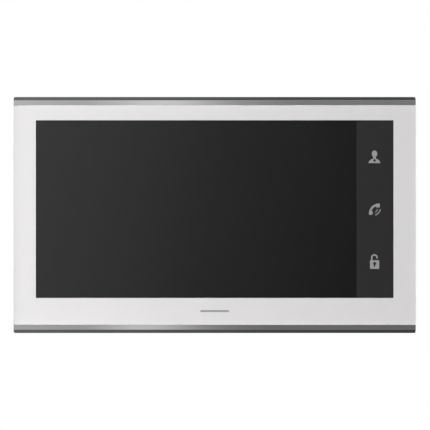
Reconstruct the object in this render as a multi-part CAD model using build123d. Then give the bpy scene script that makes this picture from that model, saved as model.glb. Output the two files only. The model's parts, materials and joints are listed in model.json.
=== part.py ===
"""Wall-mounted seven-inch video intercom monitor with three touch keys, as separate parts.

Row frame, millimetres: X runs to the right as the viewer faces the screen, Z is up, and Y is
the depth, with the viewer at -Y. The origin is on the wall, at the centre of the wall
bracket. A "level" below is a distance in front of the wall, so level 5 is the plane y = -5.
"""

import math
import os

from build123d import *

# Face of the monitor, as seen from the front
WIDTH = 201.3
HEIGHT = 118.2
TRIM_FLAT = 2.42  # height of the trim's front band
TRIM_LEAN = 5.0  # degrees that the front band leans back, away from the glass
TRIM_BEVEL = 1.73  # height of the trim's outer band
TRIM_RUN = 1.6  # how far the outer band runs back
TRIM_EDGE = 0.12  # radius of the trim's edges
TRIM_FOOT_EDGE = 0.03  # radius of the edge that meets the glass
TRIM_HEIGHT = TRIM_FLAT + TRIM_BEVEL
TRIM_WIDTH = WIDTH - 0.2
SIDE_BORDER = 11.1
TOP_BORDER = 7.5
WINDOW_WIDTH = WIDTH - 2 * SIDE_BORDER
WINDOW_HEIGHT = 89.0
KEY_STRIP_WIDTH = 18.5
KEY_PITCH = 26.15
MARK_SIZE = (14.5, 0.9)  # plain printed dash under the screen
MARK_Z = -48.1

# Levels, as distances in front of the wall
HOUSING_BACK = 1.0
BRACKET_THICK = 1.2
POCKET_FLOOR = 3.2
POCKET_INSIDE = 5.0
BOARD_BACK, BOARD_FRONT = 9.0, 10.6
SEAM = 12.6
LCD_BACK = 13.6
BEZEL_BACK = 14.0
PLATE_BACK = 15.2
LCD_FACE = 17.0
TAPE_FACE = 17.5
FILM_FACE = 17.7
FRONT = 19.5

# Shells
WALL = 1.8
HOUSING_SIZE = (199.3, 116.0)
HOUSING_CORNER = 4.0
HOUSING_EDGE = 3.5  # fillet round the back
FRAME_WIDTH = 200.3
FRAME_HALF_HEIGHT = 57.7
TRIM_WALL = 1.2
TRIM_END = 1.0  # thickness of the trims' closed ends
TRIM_ROOM = 0.1  # clearance between trim and frame
RAIL_HEIGHT = 1.7  # the rails behind the trims' front bands
HAIRLINE = 0.02  # gap between glass and trim
GLASS_SIZE = (WIDTH, HEIGHT - 2 * TRIM_HEIGHT - 2 * HAIRLINE)
GLASS_CORNER = 0.2
GLASS_ARRIS = 0.1
FILM_INSET = 0.02  # how far the print stops short of the glass's edge
SCREW_PLACES = [(x, z) for z in (53.3, -52.6) for x in (-88.0, 0.0, 88.0)]
POST_TOP = 11.0  # where the housing's posts meet the frame's bosses
HEAD_SEAT = 3.4
LABEL_X = 74.0
LABEL_SIZE = (36.0, 52.0)
LABEL_THICK = 0.15

# Screen window and display module, which sits left of the key strip
WINDOW_TOP = HEIGHT / 2 - TRIM_HEIGHT - TOP_BORDER
WINDOW_Z = WINDOW_TOP - WINDOW_HEIGHT / 2
SCREEN_WIDTH = WINDOW_WIDTH - KEY_STRIP_WIDTH
SCREEN_X = -WINDOW_WIDTH / 2 + SCREEN_WIDTH / 2
KEY_STRIP_X = WINDOW_WIDTH / 2 - KEY_STRIP_WIDTH / 2
KEY_X = KEY_STRIP_X - 0.25  # the keys sit a little towards the screen
LCD_SIZE = (163.9, 97.1)
LCD_Z = 1.15
LCD_OPENING = (161.4, 90.6)
LCD_GLASS_SIZE = (163.1, 96.3)
POLARIZER_SIZE = (161.2, 90.4)
OPENING_SIZE = (183.2, 97.9)  # hole in the front frame
CLAMP_X = (-60.0, 44.0)
CLAMP_Z = (53.2, -51.6)
CLAMP_BACK = 12.8
CLAMP_HALF = 2.4  # from the clamp's screw to its outer edge
CLAMP_REACH = (47.9, -46.0)  # where the upper and lower clamps end, over the display

# Wall bracket and the way the monitor hangs on it
BRACKET_SIZE = (96.0, 64.0)
BRACKET_WINDOW = (50.0, 34.0)
PORT_SIZE = (46.0, 30.0)
WALL_HOLES = (76.0, 52.0)
WALL_HOLE_R = 2.2
FLUSH_BOX_SPAN = 60.0
FLUSH_BOX_R = 2.1
LIFT = 5.0  # how far the monitor rises to come off the hooks
HOOK_X = 38.0
HOOK_Z = (4.0, -20.0)
HOOK_WIDTH = 12.0
HOOK_THICK = 1.2
LIP_HEIGHT = 4.5
POCKET_GAP = 0.6

# Circuit boards
BOARD_X, BOARD_Z = 7.0, 1.0
BOARD_SIZE = (118.0, 78.0)
BOARD_POSTS = [(x, z) for x in (-46.0, 60.0) for z in (-34.0, 36.0)]
SIDE_BOARD_X = (78.0, 96.0)
SIDE_BOARD_Z = (-46.0, 40.0)
SIDE_BOARD_THICK = 1.2
SIDE_POSTS = [(84.0, 35.0), (84.0, -42.0)]
TOUCH_BOARD_X = (73.3, 91.1)
TOUCH_BOARD_Z = (-41.0, 47.0)
TOUCH_BACK = 15.9

# Side controls
WHEEL_R = 7.5
WHEEL_X = 92.95
WHEEL_Z = {"volume_wheel": 24.0, "brightness_wheel": 2.0}
WHEEL_BACK, WHEEL_FRONT = 4.8, 7.2
POT_BACK = 7.5
KNURLS = 36
BUTTON_Z, BUTTON_LEVEL, BUTTON_R = -16.0, 6.6, 2.2
SLIDER_Z, SLIDER_LEVEL = -33.0, 6.6
SLIDER_TRAVEL = 2.0
SLIDER_SIZE = (2.6, 1.8)

# Speaker and microphone
SPEAKER_X, SPEAKER_Z, SPEAKER_R = -74.0, 4.0, 18.0
SPEAKER_PLUG_X, SPEAKER_PLUG_Z = -48.6, -19.6
MIC_X, MIC_LEVEL = 64.0, 8.2
BOOT_R = 3.6
CAPSULE_R = 3.0
MIC_PLUG_X, MIC_PLUG_Z = 51.0, -34.6
MIC_FLOOR = -HOUSING_SIZE[1] / 2 + WALL

FAR = 60.0  # longer than anything a cutter has to pass through


# ---------------------------------------------------------------- helpers


def prism(sketch, back, front):
    """A sketch drawn in X and Z, made solid between two levels."""
    return extrude(Plane.XZ.offset(back) * sketch, amount=front - back)


def plate(size, radius, back, front, x=0.0, z=0.0):
    """A flat plate with round corners, centred on x, z."""
    outline = RectangleRounded(*size, radius) if radius else Rectangle(*size)
    return prism(Pos(x, z) * outline, back, front)


def ring(outer, inner, back, front, outer_radius=0.0, inner_radius=0.0, outer_at=(0, 0), inner_at=(0, 0)):
    """A flat rectangular ring."""
    solid = plate(outer, outer_radius, back, front, *outer_at)
    hole = plate(inner, inner_radius, back - 1, front + 1, *inner_at)
    return solid - hole


def block(x_span, z_span, back, front):
    """A box given by its spans."""
    size = (x_span[1] - x_span[0], z_span[1] - z_span[0])
    return plate(size, 0, back, front, sum(x_span) / 2, sum(z_span) / 2)


def pillar(x, z, radius, back, front):
    """A round post along the depth."""
    return prism(Pos(x, z) * Circle(radius), back, front)


def turned(points, x, z):
    """A solid turned about the depth axis through x, z, from (radius, level) points."""
    face = make_face(Polyline([(r, -level) for r, level in points], close=True))
    return Pos(x, 0, z) * revolve(face, Axis.Y)


def along_x(x_span, z, level, radius):
    """A round rod along X."""
    length = x_span[1] - x_span[0]
    return Pos(sum(x_span) / 2, -level, z) * Rot(0, 90, 0) * Cylinder(radius, length)


def along_z(x, level, z_span, radius):
    """A round rod along Z."""
    length = z_span[1] - z_span[0]
    return Pos(x, -level, sum(z_span) / 2) * Cylinder(radius, length)


def group(solids):
    """Separate solids kept in one node."""
    return Compound(children=[s.solid() for s in solids])


def screw(x, z, head, shank, head_r, shank_r):
    """A pan-head screw whose head faces the wall, with a cross recess.

    head is the head's span of levels and shank is the level where the shank ends."""
    body = pillar(x, z, head_r, *head) + pillar(x, z, shank_r, head[1] - 0.1, shank)
    for size in ((head_r * 1.1, 0.5), (0.5, head_r * 1.1)):
        body -= plate(size, 0, head[0] - 1, head[0] + 0.8, x, z)
    return body


def reversed_screw(x, z, head, shank, head_r, shank_r):
    """The same screw with its head towards the viewer."""
    body = pillar(x, z, head_r, *head) + pillar(x, z, shank_r, shank, head[0] + 0.1)
    for size in ((head_r * 1.1, 0.5), (0.5, head_r * 1.1)):
        body -= plate(size, 0, head[1] - 0.8, head[1] + 1, x, z)
    return body


def ribbon(points, radius, thickness, plane, width):
    """A flat cable: a bent line in a plane, given a thickness and pulled to a width."""
    line = FilletPolyline(*points, radius=radius)
    return extrude(plane * trace(line, line_width=thickness), amount=width)


def wire(points, radii, diameter):
    """A round wire along straight runs joined by arcs."""
    path = FilletPolyline(*points, radius=radii)
    return sweep(Plane(path @ 0, z_dir=path % 0) * Circle(diameter / 2), path=path)


# ---------------------------------------------------------------- front


def front_glass():
    glass = plate(GLASS_SIZE, GLASS_CORNER, FILM_FACE, FRONT)
    rim = glass.faces().sort_by(Axis.Y)[0].edges()
    return chamfer(rim, GLASS_ARRIS)


def mark_outline():
    return Pos(0, MARK_Z) * SlotOverall(*MARK_SIZE)


def white_mask_film():
    size = tuple(side - 2 * FILM_INSET for side in GLASS_SIZE)
    film = plate(size, GLASS_CORNER - FILM_INSET, TAPE_FACE, FILM_FACE)
    film -= plate((WINDOW_WIDTH, WINDOW_HEIGHT), 0, 0, FRONT, 0, WINDOW_Z)
    return film - prism(mark_outline(), 0, FRONT)


def front_mark():
    return prism(mark_outline(), TAPE_FACE, FILM_FACE)


def person_symbol():
    """Head, neck and shoulders, with a round collar opening."""
    head = Pos(0, 1.5) * Ellipse(1.35, 1.7)
    neck = Pos(0, -0.6) * Rectangle(1.4, 1.4)
    shoulders = make_face(
        [
            Line((-2.95, -3.1), (2.95, -3.1)),
            ThreePointArc((2.95, -3.1), (2.35, -1.8), (0.9, -1.0)),
            Line((0.9, -1.0), (-0.9, -1.0)),
            ThreePointArc((-0.9, -1.0), (-2.35, -1.8), (-2.95, -3.1)),
        ]
    )
    return head + neck + shoulders - Pos(0, -1.8) * Circle(0.62)


def handset_symbol():
    """A curved handset with two sound arcs beside it."""
    handset = make_face(
        [
            ThreePointArc((2.6, 2.85), (-1.2, 1.45), (-2.75, -2.85)),
            Line((-2.75, -2.85), (-1.25, -2.8)),
            Line((-1.25, -2.8), (-0.7, -1.7)),
            Line((-0.7, -1.7), (-1.45, -0.9)),
            ThreePointArc((-1.45, -0.9), (-0.75, 0.45), (0.5, 1.3)),
            Line((0.5, 1.3), (1.2, 0.75)),
            Line((1.2, 0.75), (2.65, 0.95)),
            Line((2.65, 0.95), (2.6, 2.85)),
        ]
    )
    near = trace(ThreePointArc((1.4, 0.05), (1.05, -0.95), (0.35, -1.6)), line_width=0.36)
    far = trace(ThreePointArc((2.85, -0.1), (2.1, -1.8), (0.4, -2.9)), line_width=0.48)
    return handset + near + far


def padlock_symbol():
    """An open padlock with a keyhole."""
    body = Pos(0.05, -1.6) * RectangleRounded(4.6, 4.3, 0.3)
    keyhole = Pos(0.05, -1.05) * Circle(0.75)
    keyhole += make_face(Polyline((-0.55, -1.3), (0.65, -1.3), (0.05, -3.2), close=True))
    shackle = trace(
        Line((-1.4, 0.4), (-1.4, 1.85)) + ThreePointArc((-1.4, 1.85), (-0.05, 3.2), (1.3, 1.85)),
        line_width=0.72,
    )
    tip = Pos(1.3, 1.8) * Circle(0.36)
    return body - keyhole + shackle + tip


def key_symbols():
    """Node name to outline, in place on the key strip, from top to bottom."""
    shapes = {
        "view_key_symbol": (person_symbol(), 1),
        "talk_key_symbol": (handset_symbol(), 0),
        "unlock_key_symbol": (padlock_symbol(), -1),
    }
    return {
        name: Pos(KEY_X, WINDOW_Z + place * KEY_PITCH) * shape
        for name, (shape, place) in shapes.items()
    }


def key_strip_film():
    size = (KEY_STRIP_WIDTH, WINDOW_HEIGHT)
    film = plate(size, 0, TAPE_FACE, FILM_FACE, KEY_STRIP_X, WINDOW_Z)
    for outline in key_symbols().values():
        film -= prism(outline, 0, FRONT)
    return film


def glass_tape():
    size = (OPENING_SIZE[0] + 1, OPENING_SIZE[1] + 1)
    return ring((199.5, 109.0), size, LCD_FACE, TAPE_FACE, inner_at=(0, LCD_Z))


def front_frame():
    """Plate with the display opening, rails that carry the trims, side skirts and bosses."""
    outline = (FRAME_WIDTH, 2 * FRAME_HALF_HEIGHT)
    frame = plate(outline, 1.5, SEAM, LCD_FACE)
    rail_foot = HEIGHT / 2 - TRIM_HEIGHT + TRIM_ROOM
    end_x = (TRIM_WIDTH / 2 - TRIM_END - TRIM_ROOM, WIDTH / 2)
    inside = (FRAME_WIDTH - 2 * WALL, 2 * (FRAME_HALF_HEIGHT - WALL))
    frame -= plate(inside, 1.0, SEAM - 1, PLATE_BACK)
    for side in (1, -1):
        rail_z = sorted((side * rail_foot, side * (rail_foot + RAIL_HEIGHT)))
        rail_top = FRONT - TRIM_WALL - 2 * TRIM_ROOM
        frame += block((-FRAME_WIDTH / 2, FRAME_WIDTH / 2), rail_z, LCD_FACE, rail_top)
        corner_z = sorted((side * (rail_foot - 2 * TRIM_ROOM), side * HEIGHT / 2))
        frame -= block(end_x, corner_z, SEAM - 1, FRONT)
        frame -= block((-end_x[1], -end_x[0]), corner_z, SEAM - 1, FRONT)
    for x, z in SCREW_PLACES:
        frame += pillar(x, z, 2.8, POST_TOP, PLATE_BACK)
        frame -= pillar(x, z, 1.3, POST_TOP - 1, PLATE_BACK + 0.6)
    for x in CLAMP_X:
        for z in CLAMP_Z:
            frame += pillar(x, z, 2.2, LCD_BACK, PLATE_BACK)
            frame -= pillar(x, z, 0.85, LCD_BACK - 1, PLATE_BACK + 0.6)
    return frame - plate(OPENING_SIZE, 0.5, 0, FRONT, 0, LCD_Z)


def trim(side):
    """A metal channel with closed ends along the top (side 1) or bottom (side -1) edge."""
    top, foot = HEIGHT / 2, HEIGHT / 2 - TRIM_HEIGHT
    bend = foot + TRIM_FLAT
    bend_level = FRONT - TRIM_FLAT * math.tan(math.radians(TRIM_LEAN))
    lip = FRONT - TRIM_WALL
    outside = [(SEAM, top), (bend_level - TRIM_RUN, top), (bend_level, bend), (FRONT, foot), (SEAM, foot)]
    inside = [
        (SEAM - 1, foot - 1),
        (SEAM - 1, top - TRIM_WALL),
        (lip - TRIM_RUN + 0.5, top - TRIM_WALL),
        (lip, bend - 0.5),
        (lip, foot - 1),
    ]
    face = make_face(Polyline([(-level, side * z) for level, z in outside], close=True))
    face = fillet(face.vertices().sort_by(Axis.X)[1:], TRIM_EDGE)
    face = fillet(face.vertices().sort_by(Axis.X)[0], TRIM_FOOT_EDGE)
    bar = extrude(Plane.YZ * face, amount=TRIM_WIDTH / 2, both=True)
    hollow = make_face(Polyline([(-level, side * z) for level, z in inside], close=True))
    bar -= extrude(Plane.YZ * hollow, amount=TRIM_WIDTH / 2 - TRIM_END, both=True)
    return bar & plate((TRIM_WIDTH, HEIGHT), 0.8, 0, FRONT + 1)


# ---------------------------------------------------------------- display


def lcd_polarizer():
    return plate(POLARIZER_SIZE, 0, 16.8, LCD_FACE, SCREEN_X, WINDOW_Z)


def lcd_cell():
    return plate(LCD_GLASS_SIZE, 0, 15.6, 16.65, SCREEN_X, LCD_Z)


def lcd_light_guide():
    return plate(LCD_GLASS_SIZE, 0, BEZEL_BACK, 15.55, SCREEN_X, LCD_Z)


def lcd_bezel():
    """Folded steel frame round the front and edges of the module."""
    inside = tuple(side + 0.2 for side in LCD_GLASS_SIZE)
    bezel = plate(LCD_SIZE, 0.4, BEZEL_BACK, LCD_FACE, SCREEN_X, LCD_Z)
    bezel -= plate(inside, 0, 0, 16.7, SCREEN_X, LCD_Z)
    return bezel - plate(LCD_OPENING, 0, 0, FRONT, SCREEN_X, WINDOW_Z)


def lcd_rear_pan():
    """Steel back of the module, with pressed stiffening ribs."""
    pan = plate(LCD_SIZE, 0.4, LCD_BACK, BEZEL_BACK, SCREEN_X, LCD_Z)
    for z in (-16.0, 4.0, 24.0):
        pan -= prism(Pos(SCREEN_X, z) * SlotOverall(130, 6), LCD_BACK - 1, LCD_BACK + 0.2)
    return pan


def lcd_gasket():
    return ring(
        (163.7, 96.9),
        (161.0, 90.4),
        LCD_FACE,
        TAPE_FACE,
        outer_at=(SCREEN_X, LCD_Z),
        inner_at=(SCREEN_X, WINDOW_Z),
    )


def lcd_driver_board():
    return block((-68, 42), (-45.3, -37.0), CLAMP_BACK, LCD_BACK)


def lcd_flex():
    """Flat cable from the driver board to the main board's front side."""
    points = [(12.7, -41.0), (12.7, -36.0), (11.45, -33.5), (11.45, -29.5)]
    line = [(-level, z) for level, z in points]
    plane = Plane.YZ.offset(-22)
    return ribbon(line, 1.0, 0.2, plane, 24)


def lcd_clamps():
    """Steel tabs that hold the display into the frame from behind."""
    solids = []
    for x in CLAMP_X:
        for z, edge in zip(CLAMP_Z, CLAMP_REACH):
            span = sorted((edge, z + math.copysign(CLAMP_HALF, z)))
            tab = block((x - 6, x + 6), span, CLAMP_BACK, LCD_BACK)
            solids.append(tab - pillar(x, z, 1.0, CLAMP_BACK - 1, LCD_BACK + 1))
    return group(solids)


def lcd_clamp_screws():
    return group(
        [screw(x, z, (CLAMP_BACK - 1, CLAMP_BACK), 15.4, 1.7, 0.8) for x in CLAMP_X for z in CLAMP_Z]
    )


# ---------------------------------------------------------------- touch keys


def key_places():
    return [(KEY_X, WINDOW_Z + n * KEY_PITCH) for n in (1, 0, -1)]


def touch_board():
    board = block(TOUCH_BOARD_X, TOUCH_BOARD_Z, TOUCH_BACK, 17.1)
    for x, z in key_places():
        board -= pillar(x, z, 3.6, TOUCH_BACK - 1, 18)
    return board


def key_diffuser():
    return block((TOUCH_BOARD_X[0], 88.0), (-39.0, 45.0), 17.1, TAPE_FACE)


def key_leds():
    """Lamps on the board's back that shine through its holes, each on a small carrier."""
    solids = []
    for x, z in key_places():
        carrier = plate((9.0, 2.4), 0.3, 15.3, TOUCH_BACK, x, z)
        solids.append(carrier + pillar(x, z, 1.1, 15.85, 16.5))
    return group(solids)


def touch_chip():
    return plate((7.0, 7.0), 0.3, 14.7, TOUCH_BACK, 84.0, 16.0)


def touch_ribbon():
    """Flat cable that folds back from the touch board to the side board."""
    points = [(-14.2, -31.0), (-14.2, -36.0), (-11.4, -36.0), (-11.4, -31.0)]
    return ribbon(points, 1.2, 0.25, Plane.YZ.offset(81), 6)


# ---------------------------------------------------------------- main board


def main_board():
    board = plate(BOARD_SIZE, 2.0, BOARD_BACK, BOARD_FRONT, BOARD_X, BOARD_Z)
    for x, z in BOARD_POSTS:
        board -= pillar(x, z, 1.6, 0, FRONT)
    return board


def board_chips():
    """Video, audio and memory chips: centre, size and height."""
    chips = [
        (-35.0, 22.0, 14.0, 14.0, 1.4),
        (-36.0, 2.0, 10.0, 10.0, 1.2),
        (36.0, -24.0, 9.0, 5.0, 1.5),
        (38.0, 22.0, 12.0, 8.0, 1.2),
        (-34.0, -24.0, 5.0, 4.0, 1.5),
    ]
    return group(
        [plate((w, h), 0.3, BOARD_BACK - t, BOARD_BACK, x, z) for x, z, w, h, t in chips]
    )


def shield_can():
    can = plate((24.0, 16.0), 0.6, 7.2, BOARD_BACK, 36.0, 2.0)
    return can - plate((23.4, 15.4), 0.3, 7.5, BOARD_BACK + 1, 36.0, 2.0)


def capacitors():
    """Aluminium cans on square plastic bases."""
    solids = []
    for z in (-24.0, -14.0, -4.0):
        base = plate((6.6, 6.6), 0.8, BOARD_BACK - 0.8, BOARD_BACK, 59.0, z)
        solids.append(base + pillar(59.0, z, 3.1, BOARD_BACK - 5.4, BOARD_BACK - 0.8))
    return group(solids)


def inductors():
    return group([plate((7.0, 7.0), 1.4, BOARD_BACK - 3.6, BOARD_BACK, 58.5, z) for z in (8.0, 18.0)])


def flat_sockets():
    """Sockets for flat cables, on the three boards."""
    return group(
        [
            plate((9.0, 4.0), 0.2, 14.5, TOUCH_BACK, 84.0, -29.0),
            plate((27.0, 3.4), 0.2, BOARD_FRONT, 12.0, -10.0, -27.8),
            plate((3.4, 9.0), 0.2, BOARD_FRONT, 12.0, 61.5, 12.0),
            plate((3.4, 9.0), 0.2, BOARD_BACK + SIDE_BOARD_THICK, 11.6, 82.0, 12.0),
            plate((9.0, 3.4), 0.2, BOARD_BACK + SIDE_BOARD_THICK, 11.6, 84.0, -29.3),
        ]
    )


HEADER_PLACES = [(x, z) for x in (-11.0, 11.0) for z in (-6.5, 6.5)]
HEADER_TOP = 4.8
HEADER_FLOOR = 8.2
HEADER_SIZE = (12.4, 5.8)
HEADER_WALL = 0.7
PIN_PITCH = 2.5


def wire_headers():
    """Four-way headers in the cable port, for door stations, camera and power."""
    solids = []
    inside = tuple(side - 2 * HEADER_WALL for side in HEADER_SIZE)
    for x, z in HEADER_PLACES:
        shell = plate(HEADER_SIZE, 0.3, HEADER_TOP, BOARD_BACK, x, z)
        shell -= plate(inside, 0.2, HEADER_TOP - 1, HEADER_FLOOR, x, z)
        for notch in (-PIN_PITCH, PIN_PITCH):
            shell -= plate((1.2, 2.0), 0, HEADER_TOP - 1, 7.0, x + notch, z - 2.9)
        solids.append(shell)
    return group(solids)


def header_pins():
    return group(
        [
            plate((0.64, 0.64), 0, 5.4, HEADER_FLOOR, x + PIN_PITCH * (n - 1.5), z)
            for x, z in HEADER_PLACES
            for n in range(4)
        ]
    )


def board_screws():
    """Screws of the main board and the side board."""
    main = [reversed_screw(x, z, (BOARD_FRONT, 11.8), 6.4, 2.6, 1.2) for x, z in BOARD_POSTS]
    face = BOARD_BACK + SIDE_BOARD_THICK
    side = [reversed_screw(x, z, (face, 11.4), 4.8, 2.6, 1.2) for x, z in SIDE_POSTS]
    return group(main + side)


# ---------------------------------------------------------------- side controls


def side_board():
    board = block(SIDE_BOARD_X, SIDE_BOARD_Z, BOARD_BACK, BOARD_BACK + SIDE_BOARD_THICK)
    for x, z in SIDE_POSTS:
        board -= pillar(x, z, 1.6, 0, FRONT)
    return board


def side_ribbon():
    """Flat cable between the main board and the side board."""
    points = [(63.3, -11.3), (68.0, -12.2), (74.0, -12.2), (80.2, -11.0)]
    return ribbon(points, 3.0, 0.2, Plane.XY.offset(9.0), 6)


def wheel_pots():
    """Potentiometer bodies under the thumbwheels."""
    solids = []
    for z in WHEEL_Z.values():
        body = plate((11.0, 11.0), 1.0, POT_BACK, BOARD_BACK, 90.6, z)
        solids.append(body - pillar(WHEEL_X, z, 1.86, 0, 8.7))
    return group(solids)


def thumbwheel(z):
    """Knurled wheel with a hub recess and a stub shaft that turns in its potentiometer."""
    wheel = pillar(WHEEL_X, z, WHEEL_R, WHEEL_BACK, WHEEL_FRONT)
    wheel = chamfer(wheel.edges().filter_by(GeomType.CIRCLE), 0.3)
    for n in range(KNURLS):
        angle = 2 * math.pi * n / KNURLS
        x = WHEEL_X + (WHEEL_R + 0.15) * math.cos(angle)
        wheel -= pillar(x, z + (WHEEL_R + 0.15) * math.sin(angle), 0.42, 0, FRONT)
    wheel -= turned([(2.2, 4), (5.4, 4), (5.4, 5.4), (2.2, 5.4)], WHEEL_X, z)
    wheel -= plate((2.4, 0.6), 0, 4, 5.6, WHEEL_X, z)
    return wheel + pillar(WHEEL_X, z, 1.8, WHEEL_FRONT - 0.1, 8.6)


def melody_button():
    """Round push button with a retaining flange and a stem that reaches into its switch."""
    cap = along_x((96.8, 100.2), BUTTON_Z, BUTTON_LEVEL, BUTTON_R)
    cap = fillet(cap.edges().filter_by(GeomType.CIRCLE).sort_by(Axis.X)[-1], 0.5)
    flange = along_x((96.8, 97.5), BUTTON_Z, BUTTON_LEVEL, BUTTON_R + 0.4)
    return cap + flange + along_x((95.0, 96.9), BUTTON_Z, BUTTON_LEVEL, 1.1)


def melody_switch():
    body = block((92.4, 96.0), (BUTTON_Z - 3, BUTTON_Z + 3), 4.4, BOARD_BACK)
    return body - along_x((94.3, 97.0), BUTTON_Z, BUTTON_LEVEL, 1.2)


def slider_slot(x_span, extra):
    """The room that the power slider needs over its travel, with a margin."""
    half_z, half_level = SLIDER_SIZE[0] / 2 + extra, SLIDER_SIZE[1] / 2 + extra
    z_span = (SLIDER_Z - half_z, SLIDER_Z + SLIDER_TRAVEL + half_z)
    return block(x_span, z_span, SLIDER_LEVEL - half_level, SLIDER_LEVEL + half_level)


def power_switch():
    middle = SLIDER_Z + SLIDER_TRAVEL / 2
    body = block((91.6, 97.0), (middle - 5.2, middle + 5.2), 4.6, BOARD_BACK)
    return body - slider_slot((94.8, 98.0), 0.3)


def power_slider():
    """Knob of the slide switch, with three grip ridges."""
    half_z, half_level = (size / 2 for size in SLIDER_SIZE)
    levels = (SLIDER_LEVEL - half_level, SLIDER_LEVEL + half_level)
    knob = block((95.2, 100.0), (SLIDER_Z - half_z, SLIDER_Z + half_z), *levels)
    for z in (-0.65, 0.0, 0.65):
        knob -= block((99.7, 101.0), (SLIDER_Z + z - 0.14, SLIDER_Z + z + 0.14), *levels)
    return knob


# ---------------------------------------------------------------- sound


def speaker_gasket():
    tube = pillar(SPEAKER_X, SPEAKER_Z, SPEAKER_R, 2.8, 3.4)
    return tube - pillar(SPEAKER_X, SPEAKER_Z, 15.4, 0, 5)


def speaker_basket():
    section = [
        (15.4, 3.4),
        (SPEAKER_R, 3.4),
        (SPEAKER_R, 4.4),
        (16.8, 4.4),
        (11.4, 8.4),
        (7.0, 8.4),
        (7.0, 7.7),
        (10.9, 7.7),
        (15.4, 4.7),
    ]
    basket = turned(section, SPEAKER_X, SPEAKER_Z)
    terminal_x = (SPEAKER_X + 9.8, SPEAKER_X + 15.0)
    return basket + block(terminal_x, (SPEAKER_Z - 3, SPEAKER_Z + 3), 8.3, 9.0)


def speaker_diaphragm():
    """Cone, dust cap and voice coil in one moving piece."""
    section = [
        (15.0, 3.5),
        (13.4, 3.5),
        (5.0, 6.3),
        (3.4, 5.7),
        (1.7, 5.35),
        (0.0, 5.25),
        (0.0, 5.6),
        (1.6, 5.7),
        (3.2, 6.05),
        (4.6, 6.7),
        (4.6, 9.4),
        (5.0, 9.4),
        (5.0, 6.75),
        (13.4, 3.9),
        (15.0, 3.8),
    ]
    return turned(section, SPEAKER_X, SPEAKER_Z)


def speaker_magnet():
    section = [
        (0.0, 7.8),
        (4.1, 7.8),
        (4.1, 10.2),
        (5.5, 10.2),
        (5.5, 8.4),
        (9.4, 8.4),
        (9.4, 11.4),
        (0.0, 11.4),
    ]
    return turned(section, SPEAKER_X, SPEAKER_Z)


def speaker_leads():
    """The two wires from the speaker's terminal to its plug on the main board."""
    solids = []
    for shift in (-0.75, 0.75):
        points = [
            (SPEAKER_X + 13.0, -9.6, SPEAKER_Z + 2 * shift),
            (SPEAKER_X + 19.0 + shift, -9.6, SPEAKER_Z + 2 * shift),
            (SPEAKER_X + 19.0 + shift, -7.0, SPEAKER_PLUG_Z + shift),
            (SPEAKER_PLUG_X - 2.7, -7.0, SPEAKER_PLUG_Z + shift),
        ]
        solids.append(wire(points, [2.4, 1.2], 1.1))
    return group(solids)


def speaker_plug():
    return plate((5.4, 4.6), 0.3, 5.4, BOARD_BACK, SPEAKER_PLUG_X, SPEAKER_PLUG_Z)


def microphone_boot():
    """Rubber cup that seals the capsule against the bottom wall."""
    cup = along_z(MIC_X, MIC_LEVEL, (MIC_FLOOR, MIC_FLOOR + 3.8), BOOT_R)
    cup -= along_z(MIC_X, MIC_LEVEL, (MIC_FLOOR + 0.8, MIC_FLOOR + 5), CAPSULE_R + 0.05)
    return cup - along_z(MIC_X, MIC_LEVEL, (MIC_FLOOR - 1, MIC_FLOOR + 2), 1.2)


def microphone_capsule():
    return along_z(MIC_X, MIC_LEVEL, (MIC_FLOOR + 0.8, MIC_FLOOR + 3.4), CAPSULE_R)


def microphone_leads():
    solids = []
    start = MIC_FLOOR + 3.4
    for shift in (-0.8, 0.8):
        points = [
            (MIC_X + shift, -MIC_LEVEL, start),
            (MIC_X + shift, -MIC_LEVEL, start + 4.5),
            (MIC_PLUG_X + shift, -7.4, MIC_PLUG_Z - 6.5),
            (MIC_PLUG_X + shift, -7.4, MIC_PLUG_Z - 2.2),
        ]
        solids.append(wire(points, [2.4, 2.4], 0.9))
    return group(solids)


def microphone_plug():
    return plate((4.6, 4.4), 0.3, 5.8, BOARD_BACK, MIC_PLUG_X, MIC_PLUG_Z)


# ---------------------------------------------------------------- rear housing


def hook_slots():
    """Openings in the pocket floor that the bracket's hooks pass through."""
    cutter = None
    for x in (-HOOK_X, HOOK_X):
        for z in HOOK_Z:
            span = (z - LIFT - 0.4, z + HOOK_THICK + 0.1)
            half = HOOK_WIDTH / 2 + 0.5
            slot = block((x - half, x + half), span, 0, POCKET_INSIDE + 1)
            cutter = slot if cutter is None else cutter + slot
    return cutter


def grille_slots():
    """Level slots that fill a circle over the speaker."""
    radius, pitch = 13.5, 3.4
    cutter = None
    for n in range(-3, 4):
        length = 2 * math.sqrt(radius**2 - (n * pitch) ** 2) + 1.6
        outline = Pos(SPEAKER_X, SPEAKER_Z + n * pitch) * SlotOverall(length, 1.6)
        slot = prism(outline, 0, WALL + 2)
        cutter = slot if cutter is None else cutter + slot
    return cutter


def vent_slots():
    """A row of upright slots above the pocket and one below it."""
    cutter = None
    for z, length in ((46.0, 8.0), (-45.6, 6.4)):
        for n in range(21):
            outline = Pos(-52 + 5.2 * n, z) * Rot(0, 0, 90) * SlotOverall(length, 1.7)
            slot = prism(outline, 0, WALL + 2)
            cutter = slot if cutter is None else cutter + slot
    return cutter


def side_openings():
    """Openings in the right-hand wall for the wheels, the button and the slider."""
    cutter = along_x((96.0, 101.0), BUTTON_Z, BUTTON_LEVEL, BUTTON_R + 0.12)
    for z in WHEEL_Z.values():
        cutter += block((96.0, 101.0), (z - 6.3, z + 6.3), WHEEL_BACK - 0.4, WHEEL_FRONT + 0.3)
    return cutter + slider_slot((97.2, 101.0), 0.35)


def tray(size, corner, edge, back):
    """A solid with round corners and a rounded back, up to the seam."""
    solid = plate(size, corner, back, SEAM)
    return fillet(solid.faces().sort_by(Axis.Y)[-1].edges(), edge)


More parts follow.
